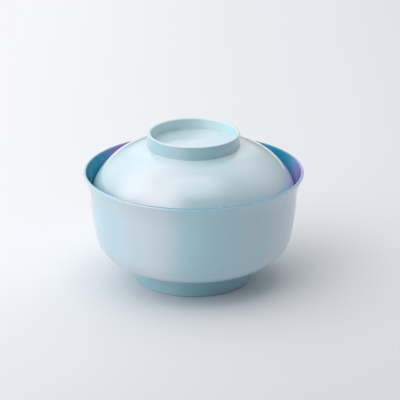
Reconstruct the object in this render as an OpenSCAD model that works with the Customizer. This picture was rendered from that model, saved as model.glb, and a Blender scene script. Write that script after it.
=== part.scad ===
// Lidded soup bowl: a turned bowl and lid, each a thin core under lacquer coats.
// Units are millimetres. +Z is up, the foot stands on z = 0 and the bowl's axis is Z.

/* [Bowl] */
// outer diameter of the rim
rim_d = 120; // [114:1:130]
// height of the rim above the table
bowl_h = 61.8; // [56:0.2:72]
// total thickness of the bowl's wall, coats included
bowl_wall = 1.8; // [1.5:0.1:2.4]
// thickness of the floor at the axis, coats included
bowl_floor = 4.3; // [3:0.1:5.5]
// radius of the curve from the underside up into the wall
shoulder_r = 18.2; // [16:0.2:21]
// radius of the outward curve below the lip
flare_r = 31.5; // [26:0.5:38]
// slope of the underside where it leaves the foot, in degrees
under_angle = 21; // [17:0.5:24]
// slope of the wall at its lower end, in degrees
wall_low_angle = 79; // [77:0.5:82]
// slope of the wall where the flare begins, in degrees
wall_top_angle = 87; // [85:0.5:89]
// slope of the lip at its edge, in degrees
lip_angle = 62.5; // [58:0.5:68]
// slope of the inner floor where it turns up into the shoulder, in degrees
floor_angle = 8.5; // [5:0.5:12]
// where the two lacquers meet on the round lip, in degrees up from its outermost point
seam_angle = 45; // [35:1:110]

/* [Foot] */
// outer diameter of the foot ring
foot_d = 63; // [56:0.5:68]
// height of the foot ring on its outside
foot_h = 8.7; // [7:0.1:11]
// thickness of the foot ring, coats included
foot_wall = 2.8; // [2:0.1:4]
// radius of the two edges beside the foot's flat standing face
foot_edge_r = 0.7; // [0.5:0.05:0.9]

/* [Lid] */
// how far the middle of the lid's edge lies below the bowl's rim
lid_sink = 8.6; // [7:0.1:10]
// height of the dome's crown above the middle of the lid's edge
dome_h = 25; // [22:0.2:28]
// total thickness of the lid's wall, coats included
lid_wall = 1.8; // [1.5:0.1:2.4]
// slope of the dome at its edge, in degrees
edge_angle = 68.4; // [64:0.2:72]
// how far the crown rises above the top of the dome's side curve
crown_rise = 2.2; // [1.6:0.1:3]
// the same rise on the lid's underside
ceiling_rise = 0.8; // [0.4:0.1:1.4]
// clearance between the lid's edge and the bowl's inner wall
seat_gap = 0.25; // [0.15:0.05:0.6]

/* [Knob ring] */
// outer diameter of the ring on the lid, as a share of the rim's
knob_share = 0.417; // [0.36:0.001:0.46]
// height of the ring above the dome on its outside
knob_h = 7.4; // [5.5:0.1:9]
// thickness of the ring, coats included
knob_wall = 1.8; // [1.5:0.1:2.6]
// radius of the two edges of the ring's flat top
knob_edge_r = 0.45; // [0.42:0.01:0.8]
// thickness of the lid inside the ring, coats included
knob_floor = 2.2; // [1.8:0.1:3]

/* [Lacquer] */
// thickness of each lacquer coat
coat = 0.25; // [0.15:0.05:0.4]
// radius of the lacquered inner corners at the foot and the knob ring
corner_r = 0.3; // [0.2:0.05:0.8]

/* [Fineness] */
// furthest that a facet may stand off its curve
facet = 0.008; // [0.005:0.001:0.05]

/* [Hidden] */
$fn = 180;

ice_blue = [0.66, 0.81, 0.87];
deep_blue = [0.20, 0.33, 0.62];
bare_wood = [0.72, 0.56, 0.38];

// direction at an angle, and the direction to its left
function along(a) = [cos(a), sin(a)];
function left_of(a) = [-sin(a), cos(a)];
// direction out of a dome at a slope
function out_of(a) = [sin(a), cos(a)];
// a list from its end to its start
function reversed(list) = [for (i = [len(list) - 1 : -1 : 0]) list[i]];
// points on an arc of radius r, at a depth below the face that the arc belongs to
function steps(r, a_from, a_to) = max(2, ceil(abs(a_to - a_from) / (2 * acos(1 - facet / r))));
function points(c, r, a_from, a_to, n) = [for (i = [0 : n]) c + r * along(a_from + (a_to - a_from) * i / n)];
function inner_arc(c, r, depth, a_from, a_to) = points(c, r - depth, a_from, a_to, steps(r, a_from, a_to));
function outer_arc(c, r, depth, a_from, a_to) = points(c, r + depth, a_from, a_to, steps(r, a_from, a_to));
// a list without its first point, to join it to one that ends there
function after(list) = [for (i = [1 : len(list) - 1]) list[i]];

// Bowl profile from the foot to the rim: underside line, shoulder arc, wall arc, flare arc, round lip.
// The line's length and the wall's radius are what the rim's place leaves for them.
lip_r = bowl_wall / 2;
lip_c = [rim_d / 2 - lip_r, bowl_h - lip_r];
foot_r = foot_d / 2;
foot_top = [foot_r, foot_h];
bend = left_of(wall_low_angle) - left_of(wall_top_angle);
left_over = lip_c - lip_r * left_of(lip_angle) - foot_top
          - shoulder_r * (left_of(under_angle) - left_of(wall_low_angle))
          + flare_r * (left_of(wall_top_angle) - left_of(lip_angle));
under_len = cross(left_over, bend) / cross(along(under_angle), bend);
wall_r = cross(along(under_angle), left_over) / cross(along(under_angle), bend);
shoulder_c = foot_top + under_len * along(under_angle) + shoulder_r * left_of(under_angle);
wall_c = shoulder_c + (wall_r - shoulder_r) * left_of(wall_low_angle);
flare_c = wall_c - (wall_r + flare_r) * left_of(wall_top_angle);

// Inner floor: one wide arc, centred on the axis and tangent to the inner shoulder.
shoulder_in = shoulder_r - bowl_wall;
floor_r = shoulder_in + shoulder_c.x / sin(floor_angle);
floor_c = [0, shoulder_c.y + (floor_r - shoulder_in) * cos(floor_angle)];

// Foot: its inner face, the ceiling of its recess, and the rounded corners of both sides.
foot_in = foot_r - foot_wall;
recess_z = floor_c.y - floor_r - bowl_floor;
foot_c = [foot_r + corner_r, foot_h - corner_r * (1 - sin(under_angle)) / cos(under_angle)];
recess_c = [foot_in - corner_r, recess_z - corner_r];

// Lid: its round edge stands one seat gap off the flared inner wall.
lid_r = lid_wall / 2;
lid_z = bowl_h - lid_sink;
seat_r = flare_r + bowl_wall + seat_gap + lid_r;
lid_c = [flare_c.x - sqrt(pow(seat_r, 2) - pow(lid_z - flare_c.y, 2)), lid_z];

// Dome: a side arc up from the edge and a wider crown arc centred on the axis, tangent to each other.
dome_r = (dome_h - crown_rise - lid_r * cos(edge_angle)) / (1 - cos(edge_angle));
dome_c = lid_c + (lid_r - dome_r) * out_of(edge_angle);
crown_angle = 2 * atan(crown_rise / dome_c.x);
crown_r = dome_r + dome_c.x / sin(crown_angle);
crown_c = [0, dome_c.y - (crown_r - dome_r) * cos(crown_angle)];

// Underside of the lid: the same side arc one wall further in, and a flatter ceiling arc.
dome_in = dome_r - lid_wall;
ceiling_angle = 2 * atan(ceiling_rise / dome_c.x);
ceiling_r = dome_in + dome_c.x / sin(ceiling_angle);
ceiling_c = [0, dome_c.y - (ceiling_r - dome_in) * cos(ceiling_angle)];

// Knob ring on the crown: its flat top, the floor inside it, and the rounded corners at its root.
knob_r = knob_share * rim_d / 2;
knob_in = knob_r - knob_wall;
knob_z = ceiling_c.y + ceiling_r + knob_floor;
root_c = [knob_r + corner_r, crown_c.y + sqrt(pow(crown_r + corner_r, 2) - pow(knob_r + corner_r, 2))];
root_angle = atan(root_c.x / (root_c.y - crown_c.y));
knob_base = crown_c.y + sqrt(pow(crown_r, 2) - pow(knob_r, 2));
knob_edge_z = knob_base + knob_h - knob_edge_r;
nook_c = [knob_in - corner_r, knob_z + corner_r];

// Side of the bowl at a depth below its outer face, from the lip down to a slope
function bowl_side(depth, low_angle) = concat(
    outer_arc(flare_c, flare_r, depth, lip_angle + 90, wall_top_angle + 90),
    after(inner_arc(wall_c, wall_r, depth, wall_top_angle - 90, wall_low_angle - 90)),
    after(inner_arc(shoulder_c, shoulder_r, depth, wall_low_angle - 90, low_angle - 90))
);
// the outside from the seam on the lip to the foot's standing face
function bowl_outside(depth) = concat(
    reversed(inner_arc(lip_c, lip_r, depth, lip_angle - 90, seam_angle)),
    after(bowl_side(depth, under_angle)),
    outer_arc(foot_c, corner_r, depth, under_angle + 90, 180),
    inner_arc([foot_r - foot_edge_r, foot_edge_r], foot_edge_r, depth, 0, -90)
);
// the inside from the seam on the lip to the axis
function bowl_inside(depth) = concat(
    inner_arc(lip_c, lip_r, depth, seam_angle, lip_angle + 90),
    after(bowl_side(bowl_wall - depth, floor_angle)),
    after(outer_arc(floor_c, floor_r, depth, floor_angle - 90, -90))
);
// the foot's recess from the axis to the standing face
function foot_inside(depth) = concat(
    [[0, recess_z + depth]],
    outer_arc(recess_c, corner_r, depth, 90, 0),
    inner_arc([foot_in + foot_edge_r, foot_edge_r], foot_edge_r, depth, 180, 270)
);
// the outside of the lid, from under its edge over the knob ring to the axis
function lid_outside(depth) = concat(
    inner_arc(lid_c, lid_r, depth, -90 - edge_angle, 90 - edge_angle),
    after(inner_arc(dome_c, dome_r, depth, 90 - edge_angle, 90 - crown_angle)),
    after(inner_arc(crown_c, crown_r, depth, 90 - crown_angle, 90 - root_angle)),
    after(outer_arc(root_c, corner_r, depth, -90 - root_angle, -180)),
    inner_arc([knob_r - knob_edge_r, knob_edge_z], knob_edge_r, depth, 0, 90),
    inner_arc([knob_in + knob_edge_r, knob_edge_z], knob_edge_r, depth, 90, 180),
    outer_arc(nook_c, corner_r, depth, 0, -90),
    [[0, knob_z - depth]]
);
// the underside of the lid, from its edge to the axis, at a height above its face
function lid_inside(height) = concat(
    outer_arc(dome_c, dome_in, height, 90 - edge_angle, 90 - ceiling_angle),
    after(outer_arc(ceiling_c, ceiling_r, height, 90 - ceiling_angle, 90))
);

// Turned body of the bowl, bare on the standing face of its foot
module bowl_core() {
    color(bare_wood)
        rotate_extrude()
            polygon(concat(
                reversed(bowl_inside(coat)),
                after(bowl_outside(coat)),
                [[foot_r - foot_edge_r, 0], [foot_in + foot_edge_r, 0]],
                reversed(foot_inside(coat))
            ));
}

// Pale lacquer on the outside, from under the lip down and round the foot's edge
module bowl_outer_coat() {
    color(ice_blue)
        rotate_extrude()
            polygon(concat(
                bowl_outside(0),
                reversed(bowl_outside(coat))
            ));
}

// Pale lacquer in the recess under the foot
module bowl_foot_coat() {
    color(ice_blue)
        rotate_extrude()
            polygon(concat(
                foot_inside(0),
                reversed(foot_inside(coat))
            ));
}

// Blue lacquer lining of the bowl, over its lip
module bowl_inner_coat() {
    color(deep_blue)
        rotate_extrude()
            polygon(concat(
                bowl_inside(0),
                reversed(bowl_inside(coat))
            ));
}

// Turned body of the lid with its knob ring
module lid_core() {
    color(bare_wood)
        rotate_extrude()
            polygon(concat(
                lid_outside(coat),
                reversed(after(lid_inside(coat)))
            ));
}

// Pale lacquer over the dome, the knob ring and its recess
module lid_outer_coat() {
    color(ice_blue)
        rotate_extrude()
            polygon(concat(
                lid_outside(0),
                reversed(lid_outside(coat))
            ));
}

// Blue lacquer lining of the lid
module lid_inner_coat() {
    color(deep_blue)
        rotate_extrude()
            polygon(concat(
                lid_inside(0),
                reversed(lid_inside(coat))
            ));
}

bowl_core();
bowl_outer_coat();
bowl_foot_coat();
bowl_inner_coat();
lid_core();
lid_outer_coat();
lid_inner_coat();
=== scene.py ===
"""Looks for the lidded soup bowl: finely turned lacquer coats on the CAD frame, in a pale studio."""

import math

import bpy
import numpy as np
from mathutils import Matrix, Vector


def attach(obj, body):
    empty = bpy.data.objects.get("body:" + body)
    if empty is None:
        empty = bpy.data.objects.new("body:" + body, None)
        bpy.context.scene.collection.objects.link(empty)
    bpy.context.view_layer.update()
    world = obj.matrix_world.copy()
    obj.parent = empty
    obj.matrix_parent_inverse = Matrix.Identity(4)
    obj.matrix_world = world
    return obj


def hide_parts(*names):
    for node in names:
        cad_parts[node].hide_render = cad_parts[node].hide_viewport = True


# Camera, fitted to the ellipses of the rim, the foot and the knob ring
CAMERA_PLACE = (0.00346, -1.1395, 0.4774)
CAMERA_TILT = math.radians(69.19)
CAMERA_LENS = 200.7
CAMERA_SENSOR = 36.0

# Turned pieces: steps round the axis and along each chord of a section, the size of one ring's cell,
# the bend from which a section has a corner, and the least length that has a direction
TURN_STEPS = 192
CURVE_STEPS = 3
SAME_RING = 5e-6
CORNER_ANGLE = math.radians(30)
LEAST_LENGTH = 1e-12
BAKE_MAP = "OFBake"

# Shading nodes: the whole range of a share, the degrees of a turn, the depth of detail in noise,
# and the numbers of a mix node's two colour inputs and its colour output
WHOLE = (0.0, 1.0)
TURN_DEGREES = 360
NOISE_DETAIL = 3.0
MIX_FIRST = 6
MIX_SECOND = 7
MIX_RESULT = 2

# Outer lacquers: base colours as linear red, green and blue, and tints of the pearl. The bowl's colour is
# the lacquer's own; the lid's is a less cyan copy as painted light on the dome, the knob ring's outer
# wall and the foot get darker copies as painted shade, and the ring's inner wall a lighter copy as
# painted light.
BOWL_ICE = (0.370, 0.890, 0.980)
LID_LIT_ICE = (0.455, 0.800, 0.860)
RING_SHADED_ICE = (0.350, 0.700, 0.780)
RECESS_LIT_ICE = (0.570, 0.950, 0.990)
FOOT_SHADED_ICE = (0.270, 0.630, 0.720)
BOWL_PEARL = (1.0, 0.36, 0.40, 1.0)
LID_PEARL = (1.0, 0.46, 0.50, 1.0)

# Pearl: how far its gloss is drawn out, the turn that lays it along the section, and its strength
BOWL_STRETCH = 1.0
LID_STRETCH = 0.85
RECESS_STRETCH = 0.3
QUARTER_TURN = 0.25
BOWL_IOR = 2.5
LID_IOR = 2.25
WALL_IOR = 1.8
RECESS_IOR = 2.0
PEARL_LEVEL = 1.0
PEARL_ROUGHNESS = (0.50, 0.56)
PEARL_GRAIN_SCALE = 900.0
PEARL_GRAIN_HEIGHT = 2e-6

# Faint clouds in the outer lacquers, and the clear coat on top
CLOUD_SCALE = 45.0
CLOUD_RANGE = (0.35, 0.65)
CLOUD_SHADE = 0.975
CLEAR_WEIGHT = 1.0
CLEAR_ROUGHNESS = 0.03
CLEAR_IOR = 1.6
CLEAR_WAVE_SCALE = 160.0
CLEAR_WAVE_HEIGHT = 6e-6

# Lining and its lip: linear colours, and the tint of the gloss
LINING_TEAL = (0.002, 0.240, 0.375)
LINING_AZURE = (0.002, 0.205, 0.340)
LINING_BLUE = (0.060, 0.240, 0.460)
LINING_VIOLET = (0.260, 0.210, 0.520)
LINING_ORCHID = (0.330, 0.170, 0.520)
LIP_PALE = (0.460, 0.590, 0.670)
LIP_TEAL = (0.160, 0.360, 0.460)
LIP_LAVENDER = (0.380, 0.440, 0.620)
LINING_GLOSS = (0.08, 0.55, 0.90, 1.0)

# Colours of the lining and the lip round the axis, in degrees from +X towards +Y
LINING_STOPS = (
    (0, LINING_VIOLET),
    (9, LINING_VIOLET),
    (19, LINING_BLUE),
    (28, LINING_AZURE),
    (75, LINING_AZURE),
    (100, LINING_BLUE),
    (122, LINING_ORCHID),
    (138, LINING_ORCHID),
    (149, LINING_BLUE),
    (158, LINING_TEAL),
    (180, LINING_TEAL),
    (190, LINING_BLUE),
    (240, LINING_BLUE),
    (268, LINING_TEAL),
    (325, LINING_AZURE),
    (345, LINING_VIOLET),
    (360, LINING_VIOLET),
)
LIP_STOPS = (
    (0, LIP_LAVENDER),
    (60, LIP_TEAL),
    (120, LIP_TEAL),
    (175, LIP_PALE),
    (225, LIP_PALE),
    (255, LIP_TEAL),
    (310, LIP_TEAL),
    (350, LIP_LAVENDER),
    (360, LIP_LAVENDER),
)

# Radii over which the lining's colours give way to the lip's
LIP_RADII = (0.0583, 0.0591)

# Clouds that carry the lining's colours sideways, as a share of a turn, the heights and the radii over
# which they set in, and the radii over which the colours give way to one colour round the axis
LINING_DRIFT = 0.12
LINING_CLOUD_SCALE = 26.0
LINING_CLOUD_RANGE = (0.30, 0.70)
LINING_CLOUD_HEIGHTS = (0.050, 0.025)
LINING_CLOUD_RADII = (0.052, 0.036)
LINING_MIDDLE_RADII = (0.030, 0.006)
LINING_ROUGHNESS = (0.05, 0.11)
LINING_GRAIN_SCALE = 700.0
LINING_GRAIN_HEIGHT = 3e-6

# Flakes in the lining: cells to the metre, the draw that a cell with a flake beats, and the flake's
# radius in cells
FLAKE_WHITE = (0.900, 0.950, 1.000)
FLAKE_SCALE = 1100.0
FLAKE_DRAW = 0.985
FLAKE_RADIUS = 0.30

# Wood of the cores
WOOD_PALE = (0.520, 0.330, 0.180)
WOOD_DARK = (0.330, 0.190, 0.090)
WOOD_SCALE = 120.0
WOOD_WOBBLE = 4.0
WOOD_DETAIL = 3.0
WOOD_ROUGHNESS = (0.50, 0.65)
WOOD_GRAIN_HEIGHT = 2e-5

# The radius that holds the knob ring, the height that holds the foot, and the least lean of their walls,
# which bound where lighter and darker copies of the lacquer paint light and shade
RING_REACH = 0.0254
FOOT_REACH = 0.0088
WALL_LEAN = 0.7

# Floor: its half width, how far it lies below the foot, its colours, and the places and shares with
# which painted shade darkens it to the right and to the front
FLOOR_HALF = 4.0
FLOOR_DROP = 5e-5
FLOOR_PALE = (0.800, 0.805, 0.830)
FLOOR_SHADE = (0.530, 0.545, 0.588)
FLOOR_FADE_RIGHT = (-0.13, 0.16)
FLOOR_FADE_FRONT = (0.00, -0.19)
FLOOR_SHARES_RIGHT = (0.0, 0.55)
FLOOR_SHARES_FRONT = (0.0, 0.45)
FLOOR_ROUGHNESS = 0.9
FLOOR_GLOSS = 0.0

# Soft panels round the bowl: degrees left of the camera's side, degrees up, the radii in degrees
# at which full light ends and all light ends, and the light
PANEL_WHITE = (1.0, 1.0, 1.0, 1.0)
PANELS = (
    (0, 84, 4, 30, 2.0),
    (45, 40, 10, 30, 1.0),
    (63, 32, 20, 45, 1.6),
    (105, 45, 8, 28, 0.7),
    (130, 25, 10, 50, 1.0),
    (180, 22, 8, 22, 0.8),
    (180, 55, 10, 40, 0.6),
    (225, 30, 10, 50, 0.45),
    (270, 40, 15, 55, 0.45),
)


def rings_of(node):
    """The node's vertices as rings: their radius and height, and which ring each vertex is on."""
    mesh = node.data
    places = np.empty(len(mesh.vertices) * 3)
    mesh.vertices.foreach_get("co", places)
    places = places.reshape(-1, 3)
    flat = np.column_stack((np.hypot(places[:, 0], places[:, 1]), places[:, 2]))
    rings = []
    ring_of = []
    found = {}
    for point in flat:
        cell = tuple(np.floor(point / SAME_RING).astype(int))
        near = None
        for across in (-1, 0, 1):
            for up in (-1, 0, 1):
                near = found.get((cell[0] + across, cell[1] + up), near)
        if near is None:
            near = len(rings)
            rings.append(point)
            found[cell] = near
        ring_of.append(near)
    return np.array(rings), ring_of


def neighbours_of(node, ring_of):
    """Which rings the node's mesh joins by an edge."""
    near = {}
    for edge in node.data.edges:
        a, b = (ring_of[v] for v in edge.vertices)
        if a != b:
            near.setdefault(a, set()).add(b)
            near.setdefault(b, set()).add(a)
    return near


def profile_of(node):
    """The node's section as a chain of points, and whether it closes on itself away from the axis."""
    rings, ring_of = rings_of(node)
    near = neighbours_of(node, ring_of)
    ends = sorted(r for r in near if len(near[r]) == 1)
    chain = [ends[0] if ends else min(near)]
    while True:
        onward = sorted(r for r in near[chain[-1]] if r not in chain)
        if not onward:
            break
        chain.append(onward[0])
    points = [rings[r] for r in chain]
    if not ends:
        return np.array(points), True
    if points[0][0] > SAME_RING:
        points.insert(0, np.array((0.0, points[0][1])))
    if points[-1][0] > SAME_RING:
        points.append(np.array((0.0, points[-1][1])))
    return np.array(points), False


def unit(vector):
    """The vector's direction."""
    return vector / max(np.linalg.norm(vector), LEAST_LENGTH)


def tangents_of(points, closed):
    """Direction of the curve at each point, or None at a corner. On the axis the curve is level."""
    count = len(points)
    tangents = []
    for i, point in enumerate(points):
        if not closed and i in (0, count - 1):
            inner = points[1] if i == 0 else points[-2]
            step = inner - point if i == 0 else point - inner
            tangents.append(np.array((math.copysign(1.0, step[0]), 0.0)))
            continue
        before = point - points[i - 1]
        after = points[(i + 1) % count] - point
        turn = np.clip(np.dot(unit(before), unit(after)), -1, 1)
        tangents.append(None if math.acos(turn) > CORNER_ANGLE else unit(before + after))
    return tangents


def smoothed(points, closed):
    """The section with each chord bent into a curve that keeps its ends and their directions."""
    tangents = tangents_of(points, closed)
    count = len(points)
    fine = []
    for i in range(count if closed else count - 1):
        start, end = points[i], points[(i + 1) % count]
        chord = end - start
        along = unit(chord)
        first, last = tangents[i], tangents[(i + 1) % count]
        if first is None and last is None:
            first = last = along
        elif first is None:
            first = 2 * np.dot(along, last) * along - last
        elif last is None:
            last = 2 * np.dot(along, first) * along - first
        length = np.linalg.norm(chord)
        for step in range(CURVE_STEPS):
            t = step / CURVE_STEPS
            fine.append(
                (2 * t**3 - 3 * t**2 + 1) * start
                + (t**3 - 2 * t**2 + t) * length * first
                + (3 * t**2 - 2 * t**3) * end
                + (t**3 - t**2) * length * last
            )
    if not closed:
        fine.append(points[-1])
    return fine


def shares_along(section, closed):
    """How far along the section each of its points is, as a share of its whole length."""
    lengths = [0.0]
    loop = section + [section[0]] if closed else section
    for here, onward in zip(loop, loop[1:]):
        lengths.append(lengths[-1] + np.linalg.norm(onward - here))
    return [length / lengths[-1] for length in lengths]


def turned_rows(section, closed):
    """The vertices turned about Z from a section, and their numbers in one row for each point."""
    vertices = []
    rows = []
    for radius, height in section:
        if radius < SAME_RING:
            rows.append([len(vertices)] * TURN_STEPS)
            vertices.append((0.0, 0.0, height))
            continue
        rows.append(list(range(len(vertices), len(vertices) + TURN_STEPS)))
        for step in range(TURN_STEPS):
            angle = 2 * math.pi * step / TURN_STEPS
            vertices.append((radius * math.cos(angle), radius * math.sin(angle), height))
    if closed:
        rows.append(rows[0])
    return vertices, rows


def turned_mesh(name, section, closed):
    """A mesh turned about Z from a section, with a map of angle against length along the section."""
    shares = shares_along(section, closed)
    vertices, rows = turned_rows(section, closed)
    faces = []
    uvs = []
    for k in range(len(rows) - 1):
        low, high = shares[k], shares[k + 1]
        for step in range(TURN_STEPS):
            across = (step + 1) % TURN_STEPS
            left = step / TURN_STEPS
            right = (step + 1) / TURN_STEPS
            corners = [
                (rows[k][step], (left, low)),
                (rows[k][across], (right, low)),
                (rows[k + 1][across], (right, high)),
                (rows[k + 1][step], (left, high)),
            ]
            kept = [c for i, c in enumerate(corners) if c[0] != corners[i - 1][0]]
            faces.append([c[0] for c in kept])
            uvs.extend(c[1] for c in kept)
    mesh = bpy.data.meshes.new(name)
    mesh.from_pydata(vertices, [], faces)
    mesh.uv_layers.new(name=BAKE_MAP)
    mesh.uv_layers[BAKE_MAP].data.foreach_set("uv", np.array(uvs).ravel())
    mesh.update()
    return mesh


def face_out(mesh):
    """Turns the mesh inside out where its volume is negative, and shades it smooth up to its corners."""
    volume = 0.0
    for face in mesh.polygons:
        volume += face.center.dot(face.normal) * face.area
    if volume < 0:
        mesh.flip_normals()
    mesh.shade_smooth()
    mesh.set_sharp_from_angle(angle=CORNER_ANGLE)


def coat(name, node_name, body, material):
    """A finely turned coat in the place of the CAD node of the same coat."""
    points, closed = profile_of(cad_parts[node_name])
    mesh = turned_mesh(name, smoothed(points, closed), closed)
    face_out(mesh)
    mesh.materials.append(material)
    piece = bpy.data.objects.new(name, mesh)
    bpy.context.collection.objects.link(piece)
    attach(piece, body)
    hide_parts(node_name)
    return piece


def paint(piece, material, chosen):
    """Gives faces a lighter or darker copy of the lacquer, as painted light or shade, where a test on
    radius, height and outward lean holds.
    """
    piece.data.materials.append(material)
    index = len(piece.data.materials) - 1
    for face in piece.data.polygons:
        radius = math.hypot(face.center.x, face.center.y)
        lean = (face.normal.x * face.center.x + face.normal.y * face.center.y) / radius
        if chosen(radius, face.center.z, lean):
            face.material_index = index


def on_ring(radius, height, lean):
    """Whether a face of the lid is on the knob ring's outer wall, which gets a darker copy of the lacquer
    as painted shade.
    """
    return radius < RING_REACH and lean > WALL_LEAN


def in_recess(radius, height, lean):
    """Whether a face of the lid is on the knob ring's inner wall, which gets a lighter copy of the
    lacquer as painted light.
    """
    return radius < RING_REACH and lean < -WALL_LEAN


def on_foot(radius, height, lean):
    """Whether a face of the bowl is on the foot's outer wall, which gets a darker copy of the lacquer as
    painted shade.
    """
    return height < FOOT_REACH and lean > WALL_LEAN


def new_material(name):
    """A material, its node tree and its shader."""
    material = bpy.data.materials.new(name)
    material.use_nodes = True
    tree = material.node_tree
    return material, tree, tree.nodes["Principled BSDF"]


def add(tree, kind, **values):
    """A node of a kind, with its settings and the values of its inputs by name."""
    node = tree.nodes.new(kind)
    for key, value in values.items():
        if key in node.inputs:
            node.inputs[key].default_value = value
        else:
            setattr(node, key, value)
    return node


def own_place(tree):
    """The piece's own coordinates, which stay with it when it moves."""
    return add(tree, "ShaderNodeTexCoord").outputs["Object"]


def noise(tree, place, scale):
    """Soft noise from 0 to 1, with a number of lumps to the metre."""
    node = add(tree, "ShaderNodeTexNoise", Scale=scale, Detail=NOISE_DETAIL)
    tree.links.new(place, node.inputs["Vector"])
    return node.outputs["Fac"]


def maths(tree, operation, *values):
    """A sum on sockets and plain numbers."""
    node = add(tree, "ShaderNodeMath", operation=operation)
    for socket, value in zip(node.inputs, values):
        if isinstance(value, (int, float)):
            socket.default_value = value
        else:
            tree.links.new(value, socket)
    return node.outputs["Value"]


def spread(tree, value, target, source=WHOLE, soft=False):
    """A value stretched from one range to another and kept inside it, with soft ends if asked."""
    node = add(tree, "ShaderNodeMapRange", interpolation_type="SMOOTHSTEP" if soft else "LINEAR")
    node.inputs["From Min"].default_value = source[0]
    node.inputs["From Max"].default_value = source[1]
    node.inputs["To Min"].default_value = target[0]
    node.inputs["To Max"].default_value = target[1]
    tree.links.new(value, node.inputs["Value"])
    return node.outputs["Result"]


def mixed(tree, share, first, second):
    """Two colours mixed by a share. A colour is a socket or three numbers."""
    node = add(tree, "ShaderNodeMix", data_type="RGBA")
    tree.links.new(share, node.inputs["Factor"])
    for number, colour in ((MIX_FIRST, first), (MIX_SECOND, second)):
        if isinstance(colour, tuple):
            node.inputs[number].default_value = (*colour, 1.0)
        else:
            tree.links.new(colour, node.inputs[number])
    return node.outputs[MIX_RESULT]


def bump(tree, height, distance):
    """A normal that follows a height of 0 to 1 over a distance in metres."""
    node = add(tree, "ShaderNodeBump", Strength=1.0, Distance=distance)
    tree.links.new(height, node.inputs["Height"])
    return node.outputs["Normal"]


def ramp(tree, turn, stops):
    """The colour at a share of a turn, from angles in degrees and their colours."""
    node = add(tree, "ShaderNodeValToRGB")
    tree.links.new(turn, node.inputs["Fac"])
    elements = node.color_ramp.elements
    for element, (angle, colour) in zip(elements, (stops[0], stops[-1])):
        element.position = angle / TURN_DEGREES
        element.color = (*colour, 1.0)
    for angle, colour in stops[1:-1]:
        elements.new(angle / TURN_DEGREES).color = (*colour, 1.0)
    return node.outputs["Color"]


def outer_lacquer(name, ice, pearl, stretch, ior):
    """Pale ice-blue lacquer with a faint lavender pearl under a clear, slightly uneven top coat."""
    material, tree, shader = new_material(name)
    place = own_place(tree)
    cloud = spread(tree, noise(tree, place, CLOUD_SCALE), WHOLE, CLOUD_RANGE)
    shaded = tuple(CLOUD_SHADE * part for part in ice)
    tree.links.new(mixed(tree, cloud, ice, shaded), shader.inputs["Base Color"])
    grain = noise(tree, place, PEARL_GRAIN_SCALE)
    tree.links.new(spread(tree, grain, PEARL_ROUGHNESS), shader.inputs["Roughness"])
    tree.links.new(bump(tree, grain, PEARL_GRAIN_HEIGHT), shader.inputs["Normal"])
    shader.inputs["IOR"].default_value = ior
    shader.inputs["Specular IOR Level"].default_value = PEARL_LEVEL
    shader.inputs["Specular Tint"].default_value = pearl
    shader.inputs["Anisotropic"].default_value = stretch
    shader.inputs["Anisotropic Rotation"].default_value = QUARTER_TURN
    round_axis = add(tree, "ShaderNodeTangent", direction_type="RADIAL", axis="Z")
    tree.links.new(round_axis.outputs["Tangent"], shader.inputs["Tangent"])
    shader.inputs["Coat Weight"].default_value = CLEAR_WEIGHT
    shader.inputs["Coat Roughness"].default_value = CLEAR_ROUGHNESS
    shader.inputs["Coat IOR"].default_value = CLEAR_IOR
    wave = noise(tree, place, CLEAR_WAVE_SCALE)
    tree.links.new(bump(tree, wave, CLEAR_WAVE_HEIGHT), shader.inputs["Coat Normal"])
    return material


def lining_ground(tree, place):
    """The lining's colour: it shifts round the axis, in clouds below the lip, and calms in the middle."""
    parts = add(tree, "ShaderNodeSeparateXYZ")
    tree.links.new(place, parts.inputs["Vector"])
    across, along, height = parts.outputs
    squares = maths(tree, "MULTIPLY_ADD", across, across, maths(tree, "MULTIPLY", along, along))
    radius = maths(tree, "SQRT", squares)
    angle = maths(tree, "ARCTAN2", along, across)
    cloud = noise(tree, place, LINING_CLOUD_SCALE)
    sideways = spread(tree, cloud, (-LINING_DRIFT, LINING_DRIFT), LINING_CLOUD_RANGE)
    lowness = spread(tree, height, WHOLE, LINING_CLOUD_HEIGHTS)
    depth = maths(tree, "MAXIMUM", lowness, spread(tree, radius, WHOLE, LINING_CLOUD_RADII))
    drift = maths(tree, "MULTIPLY_ADD", sideways, depth, 1.0)
    turn = maths(tree, "FRACT", maths(tree, "MULTIPLY_ADD", angle, 0.5 / math.pi, drift))
    middle = spread(tree, radius, WHOLE, LINING_MIDDLE_RADII, soft=True)
    inside = mixed(tree, middle, ramp(tree, turn, LINING_STOPS), LINING_AZURE)
    lip = spread(tree, radius, WHOLE, LIP_RADII)
    return mixed(tree, lip, inside, ramp(tree, turn, LIP_STOPS))


def flake_share(tree, place):
    """One on the lining's few fine flakes, and zero between them."""
    cells = add(tree, "ShaderNodeTexVoronoi", Scale=FLAKE_SCALE)
    tree.links.new(place, cells.inputs["Vector"])
    draw = add(tree, "ShaderNodeSeparateColor")
    tree.links.new(cells.outputs["Color"], draw.inputs["Color"])
    chosen = maths(tree, "GREATER_THAN", draw.outputs["Red"], FLAKE_DRAW)
    near = maths(tree, "LESS_THAN", cells.outputs["Distance"], FLAKE_RADIUS)
    return maths(tree, "MULTIPLY", chosen, near)


def lining_lacquer():
    """Glossy teal, blue and violet pearl lacquer with fine flakes in it."""
    material, tree, shader = new_material("lining_lacquer")
    place = own_place(tree)
    colour = mixed(tree, flake_share(tree, place), lining_ground(tree, place), FLAKE_WHITE)
    tree.links.new(colour, shader.inputs["Base Color"])
    grain = noise(tree, place, LINING_GRAIN_SCALE)
    tree.links.new(spread(tree, grain, LINING_ROUGHNESS), shader.inputs["Roughness"])
    tree.links.new(bump(tree, grain, LINING_GRAIN_HEIGHT), shader.inputs["Normal"])
    shader.inputs["Specular Tint"].default_value = LINING_GLOSS
    return material


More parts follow.
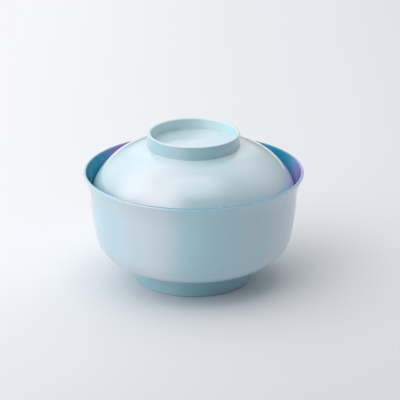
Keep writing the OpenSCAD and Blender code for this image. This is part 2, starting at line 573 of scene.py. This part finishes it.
def turned_wood():
    """Bare turned wood, which shows on the standing edge of the foot."""
    material, tree, shader = new_material("turned_wood")
    wave = add(tree, "ShaderNodeTexWave", bands_direction="X", Scale=WOOD_SCALE)
    wave.inputs["Distortion"].default_value = WOOD_WOBBLE
    wave.inputs["Detail"].default_value = WOOD_DETAIL
    tree.links.new(own_place(tree), wave.inputs["Vector"])
    grain = wave.outputs["Fac"]
    tree.links.new(mixed(tree, grain, WOOD_PALE, WOOD_DARK), shader.inputs["Base Color"])
    tree.links.new(spread(tree, grain, WOOD_ROUGHNESS), shader.inputs["Roughness"])
    tree.links.new(bump(tree, grain, WOOD_GRAIN_HEIGHT), shader.inputs["Normal"])
    return material


def floor_paper_with_painted_shade():
    """Matt pale paper with painted shade that darkens it to the right and to the front."""
    material, tree, shader = new_material("floor_paper_with_painted_shade")
    parts = add(tree, "ShaderNodeSeparateXYZ")
    tree.links.new(own_place(tree), parts.inputs["Vector"])
    rightwards = spread(tree, parts.outputs["X"], FLOOR_SHARES_RIGHT, FLOOR_FADE_RIGHT)
    forwards = spread(tree, parts.outputs["Y"], FLOOR_SHARES_FRONT, FLOOR_FADE_FRONT)
    # Painted shade: the floor darkens to the right and to the front, where less light falls.
    painted_floor_shade = maths(tree, "ADD", rightwards, forwards)
    tree.links.new(mixed(tree, painted_floor_shade, FLOOR_PALE, FLOOR_SHADE), shader.inputs["Base Color"])
    shader.inputs["Roughness"].default_value = FLOOR_ROUGHNESS
    shader.inputs["Specular IOR Level"].default_value = FLOOR_GLOSS
    return material


def studio_floor():
    """A wide floor, all that the camera sees behind the bowl."""
    edge = FLOOR_HALF
    mesh = bpy.data.meshes.new("floor")
    corners = [(-edge, -edge, -FLOOR_DROP), (edge, -edge, -FLOOR_DROP)]
    corners += [(edge, edge, -FLOOR_DROP), (-edge, edge, -FLOOR_DROP)]
    mesh.from_pydata(corners, [], [(0, 1, 2, 3)])
    mesh.materials.append(floor_paper_with_painted_shade())
    floor = bpy.data.objects.new("floor", mesh)
    bpy.context.collection.objects.link(floor)


def towards(left, up):
    """The direction a number of degrees left of the camera's side of the bowl and up."""
    turn = math.radians(left)
    rise = math.radians(up)
    return Vector((-math.sin(turn) * math.cos(rise), -math.cos(turn) * math.cos(rise), math.sin(rise)))


def studio_panels():
    """A dark room with soft panels of white light round the bowl."""
    world = bpy.data.worlds.new("studio")
    world.use_nodes = True
    tree = world.node_tree
    way = add(tree, "ShaderNodeTexCoord").outputs["Generated"]
    total = 0.0
    for left, up, full, gone, light in PANELS:
        closeness = add(tree, "ShaderNodeVectorMath", operation="DOT_PRODUCT")
        closeness.inputs[1].default_value = towards(left, up)
        tree.links.new(way, closeness.inputs[0])
        edges = math.cos(math.radians(gone)), math.cos(math.radians(full))
        panel = spread(tree, closeness.outputs["Value"], (0.0, light), edges, soft=True)
        total = maths(tree, "ADD", panel, total)
    background = tree.nodes["Background"]
    background.inputs["Color"].default_value = PANEL_WHITE
    tree.links.new(total, background.inputs["Strength"])
    bpy.context.scene.world = world


def studio_camera():
    """The camera at the photograph's place."""
    lens = bpy.data.cameras.new("camera")
    lens.lens = CAMERA_LENS
    lens.sensor_width = CAMERA_SENSOR
    camera = bpy.data.objects.new("camera", lens)
    camera.location = CAMERA_PLACE
    camera.rotation_euler = (CAMERA_TILT, 0.0, 0.0)
    bpy.context.collection.objects.link(camera)
    bpy.context.scene.camera = camera


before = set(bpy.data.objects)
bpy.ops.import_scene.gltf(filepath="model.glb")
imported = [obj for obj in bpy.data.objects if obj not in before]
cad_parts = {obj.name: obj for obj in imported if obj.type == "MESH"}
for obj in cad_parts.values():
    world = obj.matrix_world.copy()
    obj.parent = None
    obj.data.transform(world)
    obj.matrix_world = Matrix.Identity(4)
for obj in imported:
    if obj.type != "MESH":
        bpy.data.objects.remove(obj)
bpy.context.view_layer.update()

bowl_ice = outer_lacquer("bowl_ice", BOWL_ICE, BOWL_PEARL, BOWL_STRETCH, BOWL_IOR)
# The lid's copy of the lacquer is pinker and less cyan than the bowl's: painted light for the dome, which
# faces the light above.
lid_lit_ice = outer_lacquer("lid_lit_ice", LID_LIT_ICE, LID_PEARL, LID_STRETCH, LID_IOR)
# The knob ring's outer wall gets a darker copy of the lacquer: painted shade.
ring_shaded_ice = outer_lacquer("ring_shaded_ice", RING_SHADED_ICE, BOWL_PEARL, BOWL_STRETCH, WALL_IOR)
# The knob ring's inner wall gets a lighter copy of the lacquer: painted light for the light bounced
# inside the ring.
recess_lit_ice = outer_lacquer("recess_lit_ice", RECESS_LIT_ICE, LID_PEARL, RECESS_STRETCH, RECESS_IOR)
# The foot's copy of the lacquer is darker: painted shade under the bowl's overhang.
foot_shaded_ice = outer_lacquer("foot_shaded_ice", FOOT_SHADED_ICE, BOWL_PEARL, BOWL_STRETCH, WALL_IOR)
lining = lining_lacquer()
wood = turned_wood()

bowl_outside = coat("bowl_outside", "bowl_outer_coat", "bowl", bowl_ice)
# Painted shade: the foot's outer wall takes the darker copy of the lacquer.
paint(bowl_outside, foot_shaded_ice, on_foot)
coat("bowl_underside", "bowl_foot_coat", "bowl", bowl_ice)
coat("bowl_lining", "bowl_inner_coat", "bowl", lining)
lid_outside = coat("lid_outside", "lid_outer_coat", "lid", lid_lit_ice)
# Painted shade: the knob ring's outer wall takes the darker copy of the lacquer.
paint(lid_outside, ring_shaded_ice, on_ring)
# Painted light: the knob ring's inner wall takes the lighter copy of the lacquer.
paint(lid_outside, recess_lit_ice, in_recess)
coat("lid_lining", "lid_inner_coat", "lid", lining)
for core_name in ("bowl_core", "lid_core"):
    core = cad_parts[core_name]
    core.data.materials.clear()
    core.data.materials.append(wood)

studio_floor()
studio_panels()
studio_camera()
bpy.context.scene.view_settings.view_transform = "Standard"
